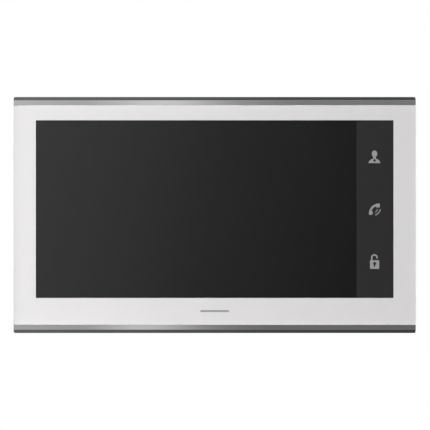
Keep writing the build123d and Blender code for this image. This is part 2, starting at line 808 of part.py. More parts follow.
def rear_housing():
    """Back shell with the bracket pocket, cable port, grille, vents and posts."""
    half_x, half_z = (size / 2 for size in BRACKET_SIZE)
    pocket_x = half_x + POCKET_GAP
    pocket_z = (-half_z - LIFT - POCKET_GAP - 0.6, half_z + POCKET_GAP)
    inner_size = tuple(size - 2 * WALL for size in HOUSING_SIZE)
    shell = tray(HOUSING_SIZE, HOUSING_CORNER, HOUSING_EDGE, HOUSING_BACK)
    cavity = tray(inner_size, HOUSING_CORNER - WALL, HOUSING_EDGE - WALL, HOUSING_BACK + WALL)
    for x, z in SCREW_PLACES:
        cavity -= pillar(x, z, 3.0, 0, POST_TOP)
    for x, z in BOARD_POSTS + SIDE_POSTS:
        cavity -= pillar(x, z, 2.9, 0, BOARD_BACK)
    cavity -= block(
        (-pocket_x - WALL, pocket_x + WALL),
        (pocket_z[0] - WALL, pocket_z[1] + WALL),
        0,
        POCKET_INSIDE,
    )
    for side in (-1, 1):
        rib_x = sorted((MIC_X + side * (BOOT_R + 0.2), MIC_X + side * (BOOT_R + 1.2)))
        cavity -= block(rib_x, (MIC_FLOOR - 1, MIC_FLOOR + 3.6), 0, 10.4)
    collar = pillar(SPEAKER_X, SPEAKER_Z, SPEAKER_R + 1.4, 0, 4.6)
    cavity -= collar - pillar(SPEAKER_X, SPEAKER_Z, SPEAKER_R + 0.3, 0, 5)
    shell -= cavity
    shell -= plate((2 * pocket_x, pocket_z[1] - pocket_z[0]), 3.0, 0, POCKET_FLOOR, 0, sum(pocket_z) / 2)
    shell -= plate(PORT_SIZE, 2.0, 0, POCKET_INSIDE + 1)
    shell -= hook_slots()
    shell -= grille_slots()
    shell -= vent_slots()
    shell -= side_openings()
    recess = tuple(side + 0.4 for side in LABEL_SIZE)
    shell -= plate(recess, 1.2, 0, HOUSING_BACK + LABEL_THICK, LABEL_X)
    for x in (-1.8, 0.0, 1.8):
        shell -= along_z(MIC_X + x, MIC_LEVEL, (-FAR, MIC_FLOOR + 0.2), 0.5)
    for x, z in SCREW_PLACES:
        shell -= pillar(x, z, 2.5, 0, HEAD_SEAT)
        shell -= pillar(x, z, 1.45, 0, SEAM)
    for x, z in BOARD_POSTS + SIDE_POSTS:
        inside = (POCKET_INSIDE if abs(x) < pocket_x else HOUSING_BACK + WALL) + 0.8
        shell -= pillar(x, z, 1.25, inside, SEAM)
    return shell


def housing_screws():
    return group([screw(x, z, (1.5, HEAD_SEAT), 15.0, 2.2, 1.25) for x, z in SCREW_PLACES])


def rating_label():
    return plate(LABEL_SIZE, 1.0, HOUSING_BACK, HOUSING_BACK + LABEL_THICK, LABEL_X)


def wall_bumpers():
    """Soft pads with a rounded rim, between the housing's back and the wall."""
    solids = []
    for x in (-84.0, 84.0):
        for z in (-38.0, 40.0):
            pad = pillar(x, z, 4.0, 0.05, HOUSING_BACK)
            solids.append(fillet(pad.edges().sort_by(Axis.Y)[-1], 0.4))
    return group(solids)


# ---------------------------------------------------------------- wall bracket


def wall_bracket():
    """Pressed steel plate with two pairs of upturned hooks, a cable window and holes."""
    bracket = plate(BRACKET_SIZE, 3.0, 0, BRACKET_THICK)
    bracket -= plate(BRACKET_WINDOW, 2.0, -1, 3)
    tip = POCKET_INSIDE + 0.4 + HOOK_THICK
    for x in (-HOOK_X, HOOK_X):
        for z in HOOK_Z:
            sides = (x - HOOK_WIDTH / 2, x + HOOK_WIDTH / 2)
            top = z + HOOK_THICK
            bracket -= block((sides[0] - 0.4, sides[1] + 0.4), (top, top + 7), -1, 3)
            bracket += block(sides, (z, top), BRACKET_THICK - 0.1, tip)
            bracket += block(sides, (z, top + LIP_HEIGHT), tip - HOOK_THICK, tip)
    for x in (-WALL_HOLES[0] / 2, WALL_HOLES[0] / 2):
        for z in (-WALL_HOLES[1] / 2, WALL_HOLES[1] / 2):
            bracket -= pillar(x, z, WALL_HOLE_R, -1, 3)
    for x in (-FLUSH_BOX_SPAN / 2, FLUSH_BOX_SPAN / 2):
        bracket -= pillar(x, 0, FLUSH_BOX_R, -1, 3)
    return bracket


def all_parts():
    """Node name to shape."""
    plain = [
        front_glass,
        white_mask_film,
        key_strip_film,
        front_mark,
        glass_tape,
        front_frame,
        lcd_polarizer,
        lcd_cell,
        lcd_light_guide,
        lcd_bezel,
        lcd_rear_pan,
        lcd_gasket,
        lcd_driver_board,
        lcd_flex,
        lcd_clamps,
        lcd_clamp_screws,
        touch_board,
        key_diffuser,
        key_leds,
        touch_chip,
        touch_ribbon,
        main_board,
        board_chips,
        shield_can,
        capacitors,
        inductors,
        flat_sockets,
        wire_headers,
        header_pins,
        board_screws,
        side_board,
        side_ribbon,
        wheel_pots,
        melody_button,
        melody_switch,
        power_switch,
        power_slider,
        speaker_gasket,
        speaker_basket,
        speaker_diaphragm,
        speaker_magnet,
        speaker_leads,
        speaker_plug,
        microphone_boot,
        microphone_capsule,
        microphone_leads,
        microphone_plug,
        rear_housing,
        housing_screws,
        rating_label,
        wall_bumpers,
        wall_bracket,
    ]
    parts = {make.__name__: make() for make in plain}
    parts["top_trim"] = trim(1)
    parts["bottom_trim"] = trim(-1)
    for name, outline in key_symbols().items():
        parts[name] = prism(outline, TAPE_FACE, FILM_FACE)
    for name, z in WHEEL_Z.items():
        parts[name] = thumbwheel(z)
    return parts


if __name__ == "__main__":
    os.makedirs("parts", exist_ok=True)
    for node, shape in all_parts().items():
        export_step(shape, f"parts/{node}.step")
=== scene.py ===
import json
import math

import bmesh
import bpy
from mathutils import Matrix, Vector

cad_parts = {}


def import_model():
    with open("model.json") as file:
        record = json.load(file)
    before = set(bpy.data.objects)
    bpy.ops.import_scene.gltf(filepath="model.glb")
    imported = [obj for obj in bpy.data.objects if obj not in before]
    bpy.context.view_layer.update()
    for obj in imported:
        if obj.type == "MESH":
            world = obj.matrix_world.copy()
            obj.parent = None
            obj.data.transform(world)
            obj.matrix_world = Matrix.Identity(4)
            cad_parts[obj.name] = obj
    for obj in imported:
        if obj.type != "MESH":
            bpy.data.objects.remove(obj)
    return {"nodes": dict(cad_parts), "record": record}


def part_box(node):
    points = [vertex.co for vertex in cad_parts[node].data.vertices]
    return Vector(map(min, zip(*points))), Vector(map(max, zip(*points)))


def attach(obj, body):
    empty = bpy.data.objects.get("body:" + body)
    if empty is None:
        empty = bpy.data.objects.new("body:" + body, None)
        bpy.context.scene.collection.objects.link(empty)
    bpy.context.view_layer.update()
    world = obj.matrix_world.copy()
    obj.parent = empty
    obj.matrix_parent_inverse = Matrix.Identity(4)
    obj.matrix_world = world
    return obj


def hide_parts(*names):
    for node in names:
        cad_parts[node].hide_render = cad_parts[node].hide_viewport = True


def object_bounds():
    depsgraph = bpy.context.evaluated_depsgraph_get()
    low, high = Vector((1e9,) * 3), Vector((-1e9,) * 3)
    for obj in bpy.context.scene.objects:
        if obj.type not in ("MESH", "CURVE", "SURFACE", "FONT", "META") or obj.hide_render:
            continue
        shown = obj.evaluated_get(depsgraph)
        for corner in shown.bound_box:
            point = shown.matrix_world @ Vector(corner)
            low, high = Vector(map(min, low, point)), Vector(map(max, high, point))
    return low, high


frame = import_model()
cad_box = [list(corner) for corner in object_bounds()]

MM = 0.001  # the scene is in metres
LOW, HIGH = (Vector(corner) for corner in cad_box)
CENTRE = (LOW + HIGH) / 2
FACE_Y = LOW.y  # the plane of the glass
RIGHT, UP, BACK = Vector((1, 0, 0)), Vector((0, 0, 1)), Vector((0, 1, 0))

# Camera: a long lens, square on to the face
FIELD = 0.215  # width seen at the face
LENS = 200.0
SENSOR = 36.0
DISTANCE = FIELD * LENS / SENSOR
FRAMING = 0.17 * MM  # how far right of the centre it looks

FLOOR_DROP = 0.30  # below the lowest point of the monitor
FLOOR_SIZE = 5.2

INK = 0.03 * MM  # thickness of the printed marks


# ---------------------------------------------------------------- node helpers


class Graph:
    """A node tree, with short calls for the nodes that the looks here need."""

    def __init__(self, tree, output):
        self.tree = tree
        self.tree.nodes.clear()
        self.output = self.node(output)

    def node(self, kind, **settings):
        made = self.tree.nodes.new("ShaderNode" + kind)
        for key, value in settings.items():
            setattr(made, key, value)
        return made

    def link(self, source, target):
        self.tree.links.new(source, target)

    def feed(self, socket, value):
        """Links an output to a socket, or sets a number or a colour on it."""
        if isinstance(value, bpy.types.NodeSocket):
            self.link(value, socket)
        elif isinstance(value, tuple):
            socket.default_value = (*value, 1.0)
        else:
            socket.default_value = value

    def coordinates(self, scale=(1.0, 1.0, 1.0), turn=(0.0, 0.0, 0.0)):
        """Object coordinates in millimetres, stretched by a scale."""
        mapping = self.node("Mapping")
        mapping.inputs["Scale"].default_value = [factor / MM for factor in scale]
        mapping.inputs["Rotation"].default_value = turn
        self.link(self.node("TexCoord").outputs["Object"], mapping.inputs["Vector"])
        return mapping.outputs["Vector"]

    def texture(self, kind, vector, scale, **settings):
        """A texture node, with its scale per unit of the vector."""
        made = self.node(kind, **settings)
        made.inputs["Scale"].default_value = scale
        self.link(vector, made.inputs["Vector"])
        return made

    def noise(self, vector, scale, detail=2.0, roughness=0.5):
        """Soft cloudy noise, mostly between 0.3 and 0.7."""
        made = self.texture("TexNoise", vector, scale)
        made.inputs["Detail"].default_value = detail
        made.inputs["Roughness"].default_value = roughness
        return made.outputs["Fac"]

    def remap(self, value, low, high, from_low=0.3, from_high=0.7):
        """The value stretched to run from low to high; the usual input is noise."""
        made = self.node("MapRange")
        made.inputs["From Min"].default_value = from_low
        made.inputs["From Max"].default_value = from_high
        made.inputs["To Min"].default_value = low
        made.inputs["To Max"].default_value = high
        self.link(value, made.inputs["Value"])
        return made.outputs["Result"]

    def maths(self, operation, *values):
        made = self.node("Math", operation=operation)
        for socket, value in zip(made.inputs, values):
            self.feed(socket, value)
        return made.outputs["Value"]

    def blend(self, factor, a, b):
        """Colour a where the factor is 0 and colour b where it is 1."""
        made = self.node("Mix", data_type="RGBA")
        self.link(factor, made.inputs["Factor"])
        self.feed(made.inputs[6], a)
        self.feed(made.inputs[7], b)
        return made.outputs[2]

    def ramp(self, value, stops):
        """A grey that follows (place, level) stops as the value goes from 0 to 1."""
        made = self.node("ValToRGB")
        points = made.color_ramp.elements
        while len(points) < len(stops):
            points.new(0.5)
        for point, (place, level) in zip(points, stops):
            point.position = place
            point.color = (level, level, level, 1.0)
        self.link(value, made.inputs["Fac"])
        return made.outputs["Color"]

    def bump(self, height, depth, edge=0.0):
        """A normal bumped by a depth, with sharp edges eased by a radius, in millimetres."""
        made = self.node("Bump")
        made.inputs["Distance"].default_value = depth * MM
        self.link(height, made.inputs["Height"])
        if edge:
            eased = self.node("Bevel", samples=4)
            eased.inputs["Radius"].default_value = edge * MM
            self.link(eased.outputs["Normal"], made.inputs["Normal"])
        return made.outputs["Normal"]

    def mix(self, factor, a, b):
        """Shader a where the factor is 0 and shader b where it is 1."""
        made = self.node("MixShader")
        for socket, value in zip(made.inputs, (factor, a, b)):
            self.feed(socket, value)
        return made.outputs["Shader"]

    def clear(self, colour=(1.0, 1.0, 1.0)):
        """A Transparent shader."""
        made = self.node("BsdfTransparent")
        self.feed(made.inputs["Color"], colour)
        return made.outputs["BSDF"]

    def principled(self, **sockets):
        """A Principled shader: numbers and colours are set, and outputs are linked."""
        made = self.node("BsdfPrincipled")
        for key, value in sockets.items():
            self.feed(made.inputs[key.replace("_", " ")], value)
        return made.outputs["BSDF"]

    def show(self, shader):
        """Puts a shader on the output."""
        self.link(shader, self.output.inputs["Surface"])


class Look(Graph):
    """The graph of a new material."""

    def __init__(self, name):
        self.material = bpy.data.materials.new(name)
        self.material.use_nodes = True
        super().__init__(self.material.node_tree, "OutputMaterial")

    def paint(self, **sockets):
        """Shows one Principled shader and gives back the finished material."""
        self.show(self.principled(**sockets))
        return self.material


def shade(colour, factor):
    return tuple(min(1.0, channel * factor) for channel in colour)


# ---------------------------------------------------------------- materials


def plastic(name, colour, roughness=0.45, grain=5.0, depth=0.006, vary=0.03, edge=0.0):
    """Moulded plastic with a fine eroded grain, eased edges and slight changes of tone.

    grain is per millimetre, depth and edge are in millimetres, and vary is a share."""
    look = Look(name)
    place = look.coordinates()
    tone = look.remap(look.noise(place, 0.05, 3.0), 0.0, 1.0)
    fine = look.noise(place, grain, 3.0, 0.6)
    return look.paint(
        Base_Color=look.blend(tone, shade(colour, 1 - vary), shade(colour, 1 + vary)),
        Roughness=look.remap(fine, roughness - 0.06, roughness + 0.06),
        Normal=look.bump(fine, depth, edge),
    )


def metal(name, colour, roughness=0.3, lines=(0.02, 1.0, 1.0), grain=14.0, edge=0.0):
    """Rolled or brushed metal: the noise is drawn out along its fine lines."""
    look = Look(name)
    drawn = look.noise(look.coordinates(lines), grain, 3.0, 0.6)
    cloud = look.remap(look.noise(look.coordinates(), 0.12, 3.0), 0.0, 1.0)
    return look.paint(
        Base_Color=look.blend(cloud, shade(colour, 0.95), shade(colour, 1.05)),
        Metallic=1.0,
        Roughness=look.remap(drawn, roughness - 0.05, roughness + 0.05),
        Normal=look.bump(drawn, 0.002, edge),
    )


def galvanised_steel():
    """Zinc-coated sheet: crystals of slightly different tone, and eased pressed edges."""
    look = Look("galvanised_steel")
    place = look.coordinates()
    warp = look.noise(place, 0.5).node.outputs["Color"]
    shift = look.node("VectorMath", operation="MULTIPLY_ADD")
    shift.inputs[1].default_value = (3.0, 3.0, 3.0)
    look.link(warp, shift.inputs[0])
    look.link(place, shift.inputs[2])
    crystals = look.texture("TexVoronoi", shift.outputs["Vector"], 0.22)
    tone = look.node("SeparateColor")
    look.link(crystals.outputs["Color"], tone.inputs["Color"])
    return look.paint(
        Base_Color=look.blend(tone.outputs["Red"], (0.62, 0.63, 0.65), (0.70, 0.71, 0.73)),
        Metallic=1.0,
        Roughness=look.remap(tone.outputs["Green"], 0.32, 0.42, 0.0, 1.0),
        Normal=look.bump(look.noise(place, 8.0, 3.0, 0.6), 0.003, 0.15),
    )


def print_film(name, colour, vary=0.006):
    """Screen-printed ink: matt, even, with the faintest mottle."""
    look = Look(name)
    tone = look.remap(look.noise(look.coordinates(), 0.8, 4.0, 0.7), 0.0, 1.0)
    return look.paint(
        Base_Color=look.blend(tone, shade(colour, 1 - vary), shade(colour, 1 + vary)),
        Roughness=0.7,
        Specular_IOR_Level=0.0,
    )


def clear_glass():
    """Flat glass: a clear layer and a mirror layer that grows towards grazing angles."""
    look = Look("clear_glass")
    facing = look.node("LayerWeight")
    facing.inputs["Blend"].default_value = 0.5
    grazing = look.maths("POWER", facing.outputs["Facing"], 5.0)
    mirror = look.maths("MULTIPLY_ADD", grazing, 0.96, 0.04)
    gloss = look.node("BsdfGlossy")
    smear = look.noise(look.coordinates(), 0.03, 4.0)
    look.link(look.remap(smear, 0.02, 0.04), gloss.inputs["Roughness"])
    look.show(look.mix(mirror, look.clear((0.989, 0.989, 0.987)), gloss.outputs["BSDF"]))
    return look.material


def glass_edge():
    """The polished rim of the glass: most light gets through it, and its green shows."""
    look = Look("glass_edge")
    ground = look.noise(look.coordinates((1.0, 0.2, 1.0)), 3.0, 4.0)
    rim = look.principled(
        Base_Color=look.blend(look.remap(ground, 0.0, 1.0), (0.60, 0.72, 0.67), (0.70, 0.81, 0.77)),
        Roughness=look.remap(ground, 0.10, 0.20),
        Coat_Weight=0.5,
        Coat_Roughness=0.08,
        Normal=look.bump(ground, 0.003),
    )
    look.show(look.mix(0.16, look.clear((0.955, 0.985, 0.972)), rim))
    return look.material


def trim_metal():
    """Polished aluminium with very fine lines along its length."""
    look = Look("trim_metal")
    drawn = look.noise(look.coordinates((0.01, 1.0, 1.0)), 16.0, 3.0, 0.6)
    cloud = look.remap(look.noise(look.coordinates((0.3, 1.0, 1.0)), 0.1, 2.0), 0.0, 1.0)
    return look.paint(
        Base_Color=look.blend(cloud, (0.78, 0.78, 0.785), (0.82, 0.82, 0.825)),
        Metallic=1.0,
        Roughness=look.remap(drawn, 0.05, 0.08),
        Normal=look.bump(drawn, 0.0003),
    )


def screen_film():
    """The unlit display's face: near black and satin, with a fine anti-glare grain."""
    look = Look("screen_film")
    place = look.coordinates()
    tone = look.remap(look.noise(place, 0.02, 3.0), 0.0, 1.0)
    return look.paint(
        Base_Color=look.blend(tone, (0.0078, 0.0078, 0.0082), (0.0088, 0.0088, 0.0093)),
        Roughness=look.remap(look.noise(place, 6.0, 2.0), 0.50, 0.60),
        Specular_IOR_Level=0.1,
    )


def circuit_board():
    """Green solder mask over blocks of level tracks, upright tracks and plain copper."""
    look = Look("circuit_board")

    def tracks(vector):
        bands = look.texture("TexWave", vector, 0.42, bands_direction="Y")
        return look.remap(bands.outputs["Fac"], 0.0, 1.0, 0.35, 0.55)

    quarter = math.pi / 2
    place = look.coordinates(turn=(quarter, 0.0, 0.0))
    turned = look.coordinates(turn=(quarter, 0.0, quarter))
    blocks = look.texture("TexVoronoi", place, 0.16, distance="CHEBYCHEV")
    split = look.node("SeparateColor")
    look.link(blocks.outputs["Color"], split.inputs["Color"])
    kind = split.outputs["Red"]
    level = look.maths("MAXIMUM", tracks(place), look.maths("LESS_THAN", kind, 0.62))
    upright = look.maths("MAXIMUM", tracks(turned), look.maths("GREATER_THAN", kind, 0.35))
    copper = look.maths("MULTIPLY", level, upright)
    holes = look.texture("TexVoronoi", place, 0.33)
    plated = look.maths("LESS_THAN", holes.outputs["Distance"], 0.11)
    mask = look.blend(copper, (0.010, 0.085, 0.036), (0.020, 0.140, 0.058))
    return look.paint(
        Base_Color=look.blend(plated, mask, (0.62, 0.50, 0.24)),
        Metallic=plated,
        Roughness=look.remap(look.noise(place, 1.2), 0.28, 0.40),
        Normal=look.bump(copper, 0.03),
    )


def label_film():
    """A plain silver label."""
    look = Look("label_film")
    drawn = look.noise(look.coordinates((1.0, 1.0, 0.02)), 10.0, 3.0)
    return look.paint(
        Base_Color=look.blend(look.remap(drawn, 0.0, 1.0), (0.52, 0.53, 0.54), (0.60, 0.61, 0.62)),
        Metallic=0.4,
        Roughness=look.remap(drawn, 0.35, 0.45),
    )


def foam(name, colour):
    """Open foam: a pitted, fully matt surface, with painted shade darkening the pits."""
    look = Look(name)
    pits = look.texture("TexVoronoi", look.coordinates(), 6.0).outputs["Distance"]
    # The colour follows the bump: painted shade, darker in the pits and lighter between them.
    return look.paint(
        Base_Color=look.blend(pits, shade(colour, 0.5), shade(colour, 1.4)),
        Roughness=0.95,
        Normal=look.bump(pits, 0.05),
    )


def cone_paper():
    """Pressed paper with fibres."""
    look = Look("cone_paper")
    fibres = look.noise(look.coordinates((1.0, 1.0, 0.3)), 3.0, 6.0, 0.7)
    return look.paint(
        Base_Color=look.blend(look.remap(fibres, 0.0, 1.0), (0.02, 0.02, 0.02), (0.06, 0.06, 0.06)),
        Roughness=0.85,
        Normal=look.bump(fibres, 0.03),
    )


def flex_film(name, colour, line):
    """Flat flexible cable with conductors that show as fine lines."""
    look = Look(name)
    lines = look.texture("TexWave", look.coordinates(), 1.0, bands_direction="X").outputs["Fac"]
    return look.paint(
        Base_Color=look.blend(lines, colour, line),
        Roughness=look.remap(look.noise(look.coordinates(), 2.0), 0.3, 0.42),
        Normal=look.bump(lines, 0.02),
    )


def build_materials():
    """One material for each of the record's slots."""
    plastics = {
        "white_plastic": dict(colour=(0.78, 0.78, 0.775), edge=0.2),
        "screen_glass": dict(colour=(0.03, 0.03, 0.035), roughness=0.1, grain=1.0, depth=0.0),
        "light_guide": dict(colour=(0.80, 0.82, 0.83), roughness=0.2, grain=3.0, depth=0.001),
        "milky_plastic": dict(colour=(0.50, 0.50, 0.50), roughness=0.5, grain=2.0, depth=0.003),
        "white_connector": dict(
            colour=(0.74, 0.71, 0.63), roughness=0.4, grain=4.0, depth=0.004, edge=0.1
        ),
        "chip_epoxy": dict(colour=(0.018, 0.018, 0.019), roughness=0.5, grain=9.0, vary=0.10),
        "ferrite": dict(colour=(0.035, 0.035, 0.038), roughness=0.6, grain=4.0, depth=0.02, vary=0.15),
        "switch_plastic": dict(
            colour=(0.022, 0.022, 0.024), roughness=0.42, grain=6.0, depth=0.005, vary=0.10
        ),
        "control_plastic": dict(
            colour=(0.42, 0.42, 0.43), roughness=0.4, grain=6.0, vary=0.05, edge=0.12
        ),
        "speaker_steel": dict(colour=(0.02, 0.02, 0.02), roughness=0.35, grain=3.0, vary=0.10),
        "lead_sleeve": dict(
            colour=(0.40, 0.02, 0.02), roughness=0.35, grain=3.0, depth=0.002, vary=0.08
        ),
        "rubber": dict(colour=(0.028, 0.028, 0.028), roughness=0.75, depth=0.01, vary=0.12),
    }
    metals = {
        "steel": dict(colour=(0.60, 0.60, 0.59)),
        "screw_steel": dict(
            colour=(0.58, 0.58, 0.60), roughness=0.28, lines=(1.0, 1.0, 1.0), grain=6.0, edge=0.12
        ),
        "can_aluminium": dict(colour=(0.72, 0.72, 0.73), roughness=0.25),
        "pin_metal": dict(colour=(0.85, 0.66, 0.32), roughness=0.22),
    }
    prints = {
        "white_print": dict(colour=(0.805, 0.79, 0.80)),
        "black_print": dict(colour=(0.032, 0.032, 0.032)),
        "symbol_print": dict(colour=(0.38, 0.38, 0.38), vary=0.03),
        "mark_print": dict(colour=(0.33, 0.33, 0.335), vary=0.03),
    }
    materials = {
        "front_glass": clear_glass(),
        "foam_tape": foam("foam_tape", (0.03, 0.03, 0.03)),
        "trim_metal": trim_metal(),
        "screen_film": screen_film(),
        "bracket_steel": galvanised_steel(),
        "circuit_board": circuit_board(),
        "amber_film": flex_film("amber_film", (0.42, 0.16, 0.03), (0.58, 0.30, 0.08)),
        "white_film": flex_film("white_film", (0.80, 0.80, 0.79), (0.50, 0.50, 0.52)),
        "cone_paper": cone_paper(),
        "label_film": label_film(),
    }
    for make, looks in ((plastic, plastics), (metal, metals), (print_film, prints)):
        for name, values in looks.items():
            materials[name] = make(name, **values)
    return materials


def dress_cad_nodes(materials):
    """Gives every CAD node the material of its slot."""
    for part in frame["record"]["subparts"]:
        cad = frame["nodes"][part["node"]]
        for material_slot in cad.material_slots:
            material_slot.material = materials[part["material_slot"]]


# ---------------------------------------------------------------- pieces


def add_mesh(name, bm, slots):
    """An object made from a bmesh, smooth except at its sharp edges."""
    mesh = bpy.data.meshes.new(name)
    bm.to_mesh(mesh)
    bm.free()
    for material in slots:
        mesh.materials.append(material)
    mesh.shade_smooth()
    mesh.set_sharp_from_angle(angle=math.radians(35))
    made = bpy.data.objects.new(name, mesh)
    bpy.context.scene.collection.objects.link(made)
    return made


def corner_path(half_x, half_z, radius, steps):
    """Points round a rectangle with round corners, anticlockwise from the right side."""
    points = []
    corners = ((1, 1, 0.0), (-1, 1, 0.5), (-1, -1, 1.0), (1, -1, 1.5))
    for sign_x, sign_z, start in corners:
        for n in range(steps + 1):
            angle = math.pi * (start + 0.5 * n / steps)
            x = sign_x * (half_x - radius) + radius * math.cos(angle)
            z = sign_z * (half_z - radius) + radius * math.sin(angle)
            points.append((x, z))
    return points


def glass_rings(back_y, front_y):
    """(y, inset) of the sheet's outline, from its bevelled back edge to its rounded front edge."""
    back_bevel, front_round, steps = 0.02 * MM, 0.05 * MM, 4
    rings = [(back_y, back_bevel), (back_y - back_bevel, 0.0)]
    for n in range(steps + 1):
        angle = 0.5 * math.pi * n / steps
        y = front_y + front_round * (1 - math.sin(angle))
        rings.append((y, front_round * (1 - math.cos(angle))))
    return rings


def glass_sheet(front_glass):
    """The front glass, with fine edges; the rims beside the trims are plain white, a painted
    reflection of the white print in the glass rim.
    """
    low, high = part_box("front_glass")
    corner, corner_steps = 0.2 * MM, 6
    film_gap = 0.02 * MM  # keeps the back face clear of the print
    half, middle = (high - low) / 2, (high + low) / 2
    glass, edge, reflection_rim = range(3)
    bm = bmesh.new()
    loops = []
    for y, inset in glass_rings(high.y - film_gap, low.y):
        path = corner_path(half.x - inset, half.z - inset, corner - inset, corner_steps)
        loops.append([bm.verts.new((middle.x + x, y, middle.z + z)) for x, z in path])
    for back_loop, front_loop in zip(loops, loops[1:]):
        count = len(back_loop)
        for n in range(count):
            after = (n + 1) % count
            # Level rims, beside the trims, get the white painted reflection of the print; the other
            # rims get the glass edge.
            level = abs(back_loop[n].co.z - back_loop[after].co.z) < corner
            side = bm.faces.new((back_loop[n], front_loop[n], front_loop[after], back_loop[after]))
            side.material_index = reflection_rim if level else edge
    broad = [bm.faces.new(loops[0]), bm.faces.new(list(reversed(loops[-1])))]
    for face in broad:
        face.material_index = glass
    bmesh.ops.recalc_face_normals(bm, faces=bm.faces)
    bm.faces.index_update()
    broad_faces = [face.index for face in broad]
    # Opaque white on the level rims: a painted reflection of the white print that the glass rim
    # mirrors.
    painted_rim_reflection = plastic("painted_rim_reflection", (0.86, 0.86, 0.855), roughness=0.6, grain=3.0, depth=0.002)
    sheet = add_mesh("glass_sheet", bm, [front_glass, glass_edge(), painted_rim_reflection])
    for index in broad_faces:
        sheet.data.polygons[index].use_smooth = False
    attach(sheet, "monitor")
    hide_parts("front_glass")


def printed(name, outlines, place, across, out, ink):
    """A thin layer of ink on the monitor: outlines in (across, up) millimetres about a place."""
    bm = bmesh.new()
    for outline in outlines:
        foot = [bm.verts.new(place + (across * u + UP * v) * MM) for u, v in outline]
        top = [bm.verts.new(vert.co + out * INK) for vert in foot]
        count = len(foot)
        bm.faces.new(foot)
        bm.faces.new(list(reversed(top)))
        for n in range(count):
            after = (n + 1) % count
            bm.faces.new((foot[n], top[n], top[after], foot[after]))
    bmesh.ops.recalc_face_normals(bm, faces=bm.faces)
    layer = add_mesh(name, bm, [ink])
    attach(layer, "monitor")


# The outlines and symbols below are in millimetres, about their own middle.


def bar(left, right, low, high):
    """The outline of a rectangle."""
    return [(left, low), (right, low), (right, high), (left, high)]


def arc_band(radius, width, start, end, steps=20):
    """The outline of a band along a circle, between two angles in degrees."""
    turns = [math.radians(start + (end - start) * n / steps) for n in range(steps + 1)]
    outer, inner = (
        [(edge * math.cos(turn), edge * math.sin(turn)) for turn in turns]
        for edge in (radius + width / 2, radius - width / 2)
    )
    return outer + inner[::-1]


def disc(x, y, radius, squash=1.0, steps=20):
    """The outline of a disc, or of an ellipse squashed to a share of its height."""
    turns = [2 * math.pi * n / steps for n in range(steps)]
    return [(x + radius * math.cos(turn), y + squash * radius * math.sin(turn)) for turn in turns]


def wedge_symbol():
    return [[(-1.2, -0.5), (1.2, -0.5), (1.2, 0.6)]]


def sun_symbol():
    rays = 8
    outlines = [disc(0, 0, 0.55)]
    for n in range(rays):
        turn = Matrix.Rotation(2 * math.pi * n / rays, 2)
        outlines.append([tuple(turn @ Vector(point)) for point in bar(0.8, 1.2, -0.1, 0.1)])
    return outlines


def note_symbol():
    flag = [(0.2, 1.2), (0.95, 0.65), (0.95, 0.2), (0.2, 0.7)]
    return [disc(-0.2, -0.85, 0.5, 0.75), bar(0.05, 0.28, -0.8, 1.2), flag]


def power_symbol():
    return [arc_band(0.85, 0.24, -230, 50), bar(-0.12, 0.12, 0.15, 1.2)]


def control_marks(ink):
    """Small symbols on the housing's right-hand wall, between the seam and each side control."""
    wall_low, wall_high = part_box("rear_housing")
    seam_gap = 1.7 * MM  # from the seam with the front frame to the middle of a symbol
    marks = {
        "volume_wheel": wedge_symbol(),
        "brightness_wheel": sun_symbol(),
        "melody_button": note_symbol(),
        "power_slider": power_symbol(),
    }
    for node, outlines in marks.items():
        low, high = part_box(node)
        place = Vector((wall_high.x, wall_low.y + seam_gap, (low.z + high.z) / 2))
        printed(node.split("_")[0] + "_mark", outlines, place, BACK, RIGHT, ink)


def label_print():
    """A printed frame with blank rows in two columns, on the rating label."""
    low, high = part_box("rating_label")
    size = (high - low) / MM
    margin = 1.6  # from the label's edge to the middle of the frame's line
    line, row_line = 0.3, 0.2
    row_height, rows = 4.6, 7
    outer_x, outer_z = (length / 2 - margin + line / 2 for length in (size.x, size.z))
    inner_x, inner_z = outer_x - line, outer_z - line
    column = -0.25 * inner_x
    column_left, column_right = column - row_line / 2, column + row_line / 2
    outlines = [bar(-outer_x, outer_x, inner_z, outer_z), bar(-outer_x, outer_x, -outer_z, -inner_z)]
    outlines += [bar(-outer_x, -inner_x, -inner_z, inner_z), bar(inner_x, outer_x, -inner_z, inner_z)]
    for n in range(1, rows + 1):
        row_top = outer_z - line / 2 - row_height * n + row_line / 2
        row_foot = row_top - row_line
        outlines.append(bar(-inner_x, column_left, row_foot, row_top))
        outlines.append(bar(column_right, inner_x, row_foot, row_top))
    outlines.append(bar(column_left, column_right, row_foot, inner_z))
    place = Vector(((low.x + high.x) / 2, high.y, (low.z + high.z) / 2))
    ink = print_film("label_ink", (0.10, 0.10, 0.105), vary=0.05)
    printed("label_print", outlines, place, -RIGHT, BACK, ink)


# ---------------------------------------------------------------- studio


def stage_plane(name, size, location, facing, material):
    """A flat rectangle whose normal points along facing."""
    bm = bmesh.new()
    corners = bar(-size[0] / 2, size[0] / 2, -size[1] / 2, size[1] / 2)
    bm.faces.new([bm.verts.new((x, y, 0)) for x, y in corners])
    made = add_mesh(name, bm, [material])
    made.location = location
    made.rotation_euler = Vector(facing).to_track_quat("Z", "Y").to_euler()
    return made


